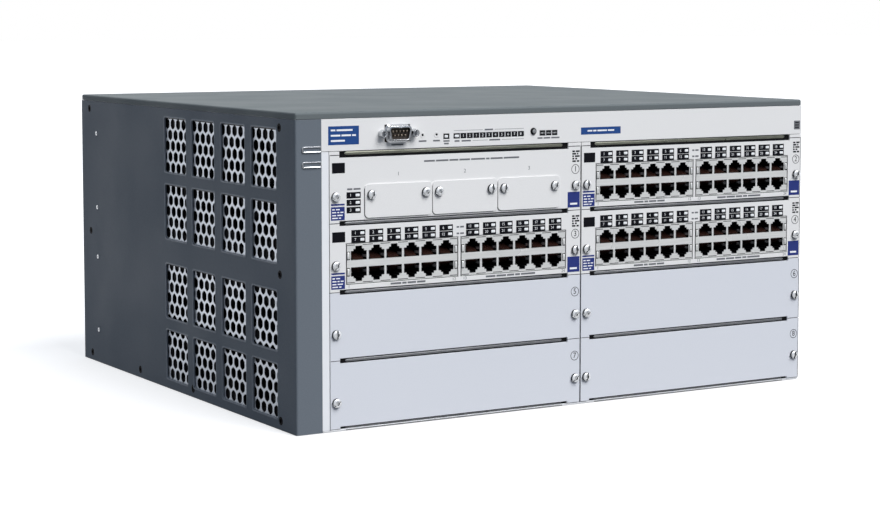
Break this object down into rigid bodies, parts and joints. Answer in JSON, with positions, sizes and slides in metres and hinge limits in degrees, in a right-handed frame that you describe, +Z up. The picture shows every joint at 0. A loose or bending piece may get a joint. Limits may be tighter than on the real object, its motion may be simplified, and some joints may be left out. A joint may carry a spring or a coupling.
{
  "type": "managed ethernet switch",
  "caption": "Modular rack network switch: sheet-metal chassis with perforated fan wall, sliding port and transceiver modules, blank plates, console header and a pull-out power supply.",
  "frame": {"origin": "centre of the case's underside, without the screw heads and the rear handle", "axes": "+X to the right seen from the front, +Y from the front to the back, +Z up"},
  "size_m": [0.442, 0.4207, 0.22],
  "materials": {
    "dark_paint": "satin",
    "lid_paint": "satin",
    "panel_paint": "satin",
    "zinc_sheet": "satin",
    "bright_steel": "polished",
    "black_steel": "satin",
    "gasket_metal": "satin",
    "socket_shield": "satin",
    "black_plastic": "matte",
    "grey_plastic": "matte",
    "circuit_board": "gloss"
  },
  "bodies": {
    "chassis": {"top_cover": "lid_paint", "left_side_cover": "dark_paint", "right_side_cover": "dark_paint", "cover_screws": "black_steel", "rack_nuts": "bright_steel", "left_inner_wall": "zinc_sheet", "right_inner_wall": "zinc_sheet", "base_pan": "zinc_sheet", "rear_panel": "zinc_sheet", "front_frame": "panel_paint", "slot_gaskets": "gasket_metal", "header_panel": "panel_paint", "console_shell": "bright_steel", "console_insert": "black_plastic", "console_jackscrews": "bright_steel", "status_light_bar": "black_plastic", "indicator_lights": "black_plastic", "corner_trim_bars": "bright_steel", "card_shelf": "zinc_sheet", "management_board": "circuit_board", "backplane": "circuit_board", "card_guides": "black_plastic", "blank_plate_1": "panel_paint", "blank_plate_2": "panel_paint", "blank_plate_3": "panel_paint", "blank_plate_4": "panel_paint", "panel_screws": "bright_steel", "supply_bay_cover": "zinc_sheet", "supply_rails": "zinc_sheet", "fan_frame_1": "black_plastic", "fan_frame_2": "black_plastic", "fan_frame_3": "black_plastic", "fan_frame_4": "black_plastic"},
    "mode_button": {"mode_button": "grey_plastic"},
    "reset_button": {"reset_button": "black_plastic"},
    "clear_button": {"clear_button": "black_plastic"},
    "fan_1": {"fan_rotor_1": "black_plastic"},
    "fan_2": {"fan_rotor_2": "black_plastic"},
    "fan_3": {"fan_rotor_3": "black_plastic"},
    "fan_4": {"fan_rotor_4": "black_plastic"},
    "power_supply": {"supply_case": "zinc_sheet", "supply_inlet": "black_plastic", "supply_handle": "zinc_sheet", "supply_thumb_screws": "bright_steel"},
    "module_1": {"module_1_faceplate": "panel_paint", "module_1_bay_covers": "panel_paint", "module_1_board": "circuit_board", "module_1_screws": "bright_steel"},
    "module_2": {"module_2_faceplate": "panel_paint", "module_2_board": "circuit_board", "module_2_port_blocks": "socket_shield", "module_2_screws": "bright_steel"},
    "module_3": {"module_3_faceplate": "panel_paint", "module_3_board": "circuit_board", "module_3_port_blocks": "socket_shield", "module_3_screws": "bright_steel"},
    "module_4": {"module_4_faceplate": "panel_paint", "module_4_board": "circuit_board", "module_4_port_blocks": "socket_shield", "module_4_screws": "bright_steel"}
  },
  "joints": [
    {"name": "module_1_slide", "type": "slide", "parent": "chassis", "child": "module_1", "axis": [0, -1, 0], "range_m": [0, 0.22]},
    {"name": "module_2_slide", "type": "slide", "parent": "chassis", "child": "module_2", "axis": [0, -1, 0], "range_m": [0, 0.22]},
    {"name": "module_3_slide", "type": "slide", "parent": "chassis", "child": "module_3", "axis": [0, -1, 0], "range_m": [0, 0.22]},
    {"name": "module_4_slide", "type": "slide", "parent": "chassis", "child": "module_4", "axis": [0, -1, 0], "range_m": [0, 0.22]},
    {"name": "power_supply_slide", "type": "slide", "parent": "chassis", "child": "power_supply", "axis": [0, 1, 0], "range_m": [0, 0.13]},
    {"name": "fan_1_spin", "type": "hinge", "parent": "chassis", "child": "fan_1", "pos_m": [-0.206, -0.12175, 0.1617], "axis": [1, 0, 0], "continuous": true},
    {"name": "fan_2_spin", "type": "hinge", "parent": "chassis", "child": "fan_2", "pos_m": [-0.206, -0.02065, 0.1617], "axis": [1, 0, 0], "continuous": true},
    {"name": "fan_3_spin", "type": "hinge", "parent": "chassis", "child": "fan_3", "pos_m": [-0.206, -0.12175, 0.0499], "axis": [1, 0, 0], "continuous": true},
    {"name": "fan_4_spin", "type": "hinge", "parent": "chassis", "child": "fan_4", "pos_m": [-0.206, -0.02065, 0.0499], "axis": [1, 0, 0], "continuous": true},
    {"name": "mode_button_press", "type": "slide", "parent": "chassis", "child": "mode_button", "axis": [0, 1, 0], "range_m": [0, 0.0015], "stiffness_N_per_m": 400},
    {"name": "reset_button_press", "type": "slide", "parent": "chassis", "child": "reset_button", "axis": [0, 1, 0], "range_m": [0, 0.001], "stiffness_N_per_m": 500},
    {"name": "clear_button_press", "type": "slide", "parent": "chassis", "child": "clear_button", "axis": [0, 1, 0], "range_m": [0, 0.001], "stiffness_N_per_m": 500}
  ]
}
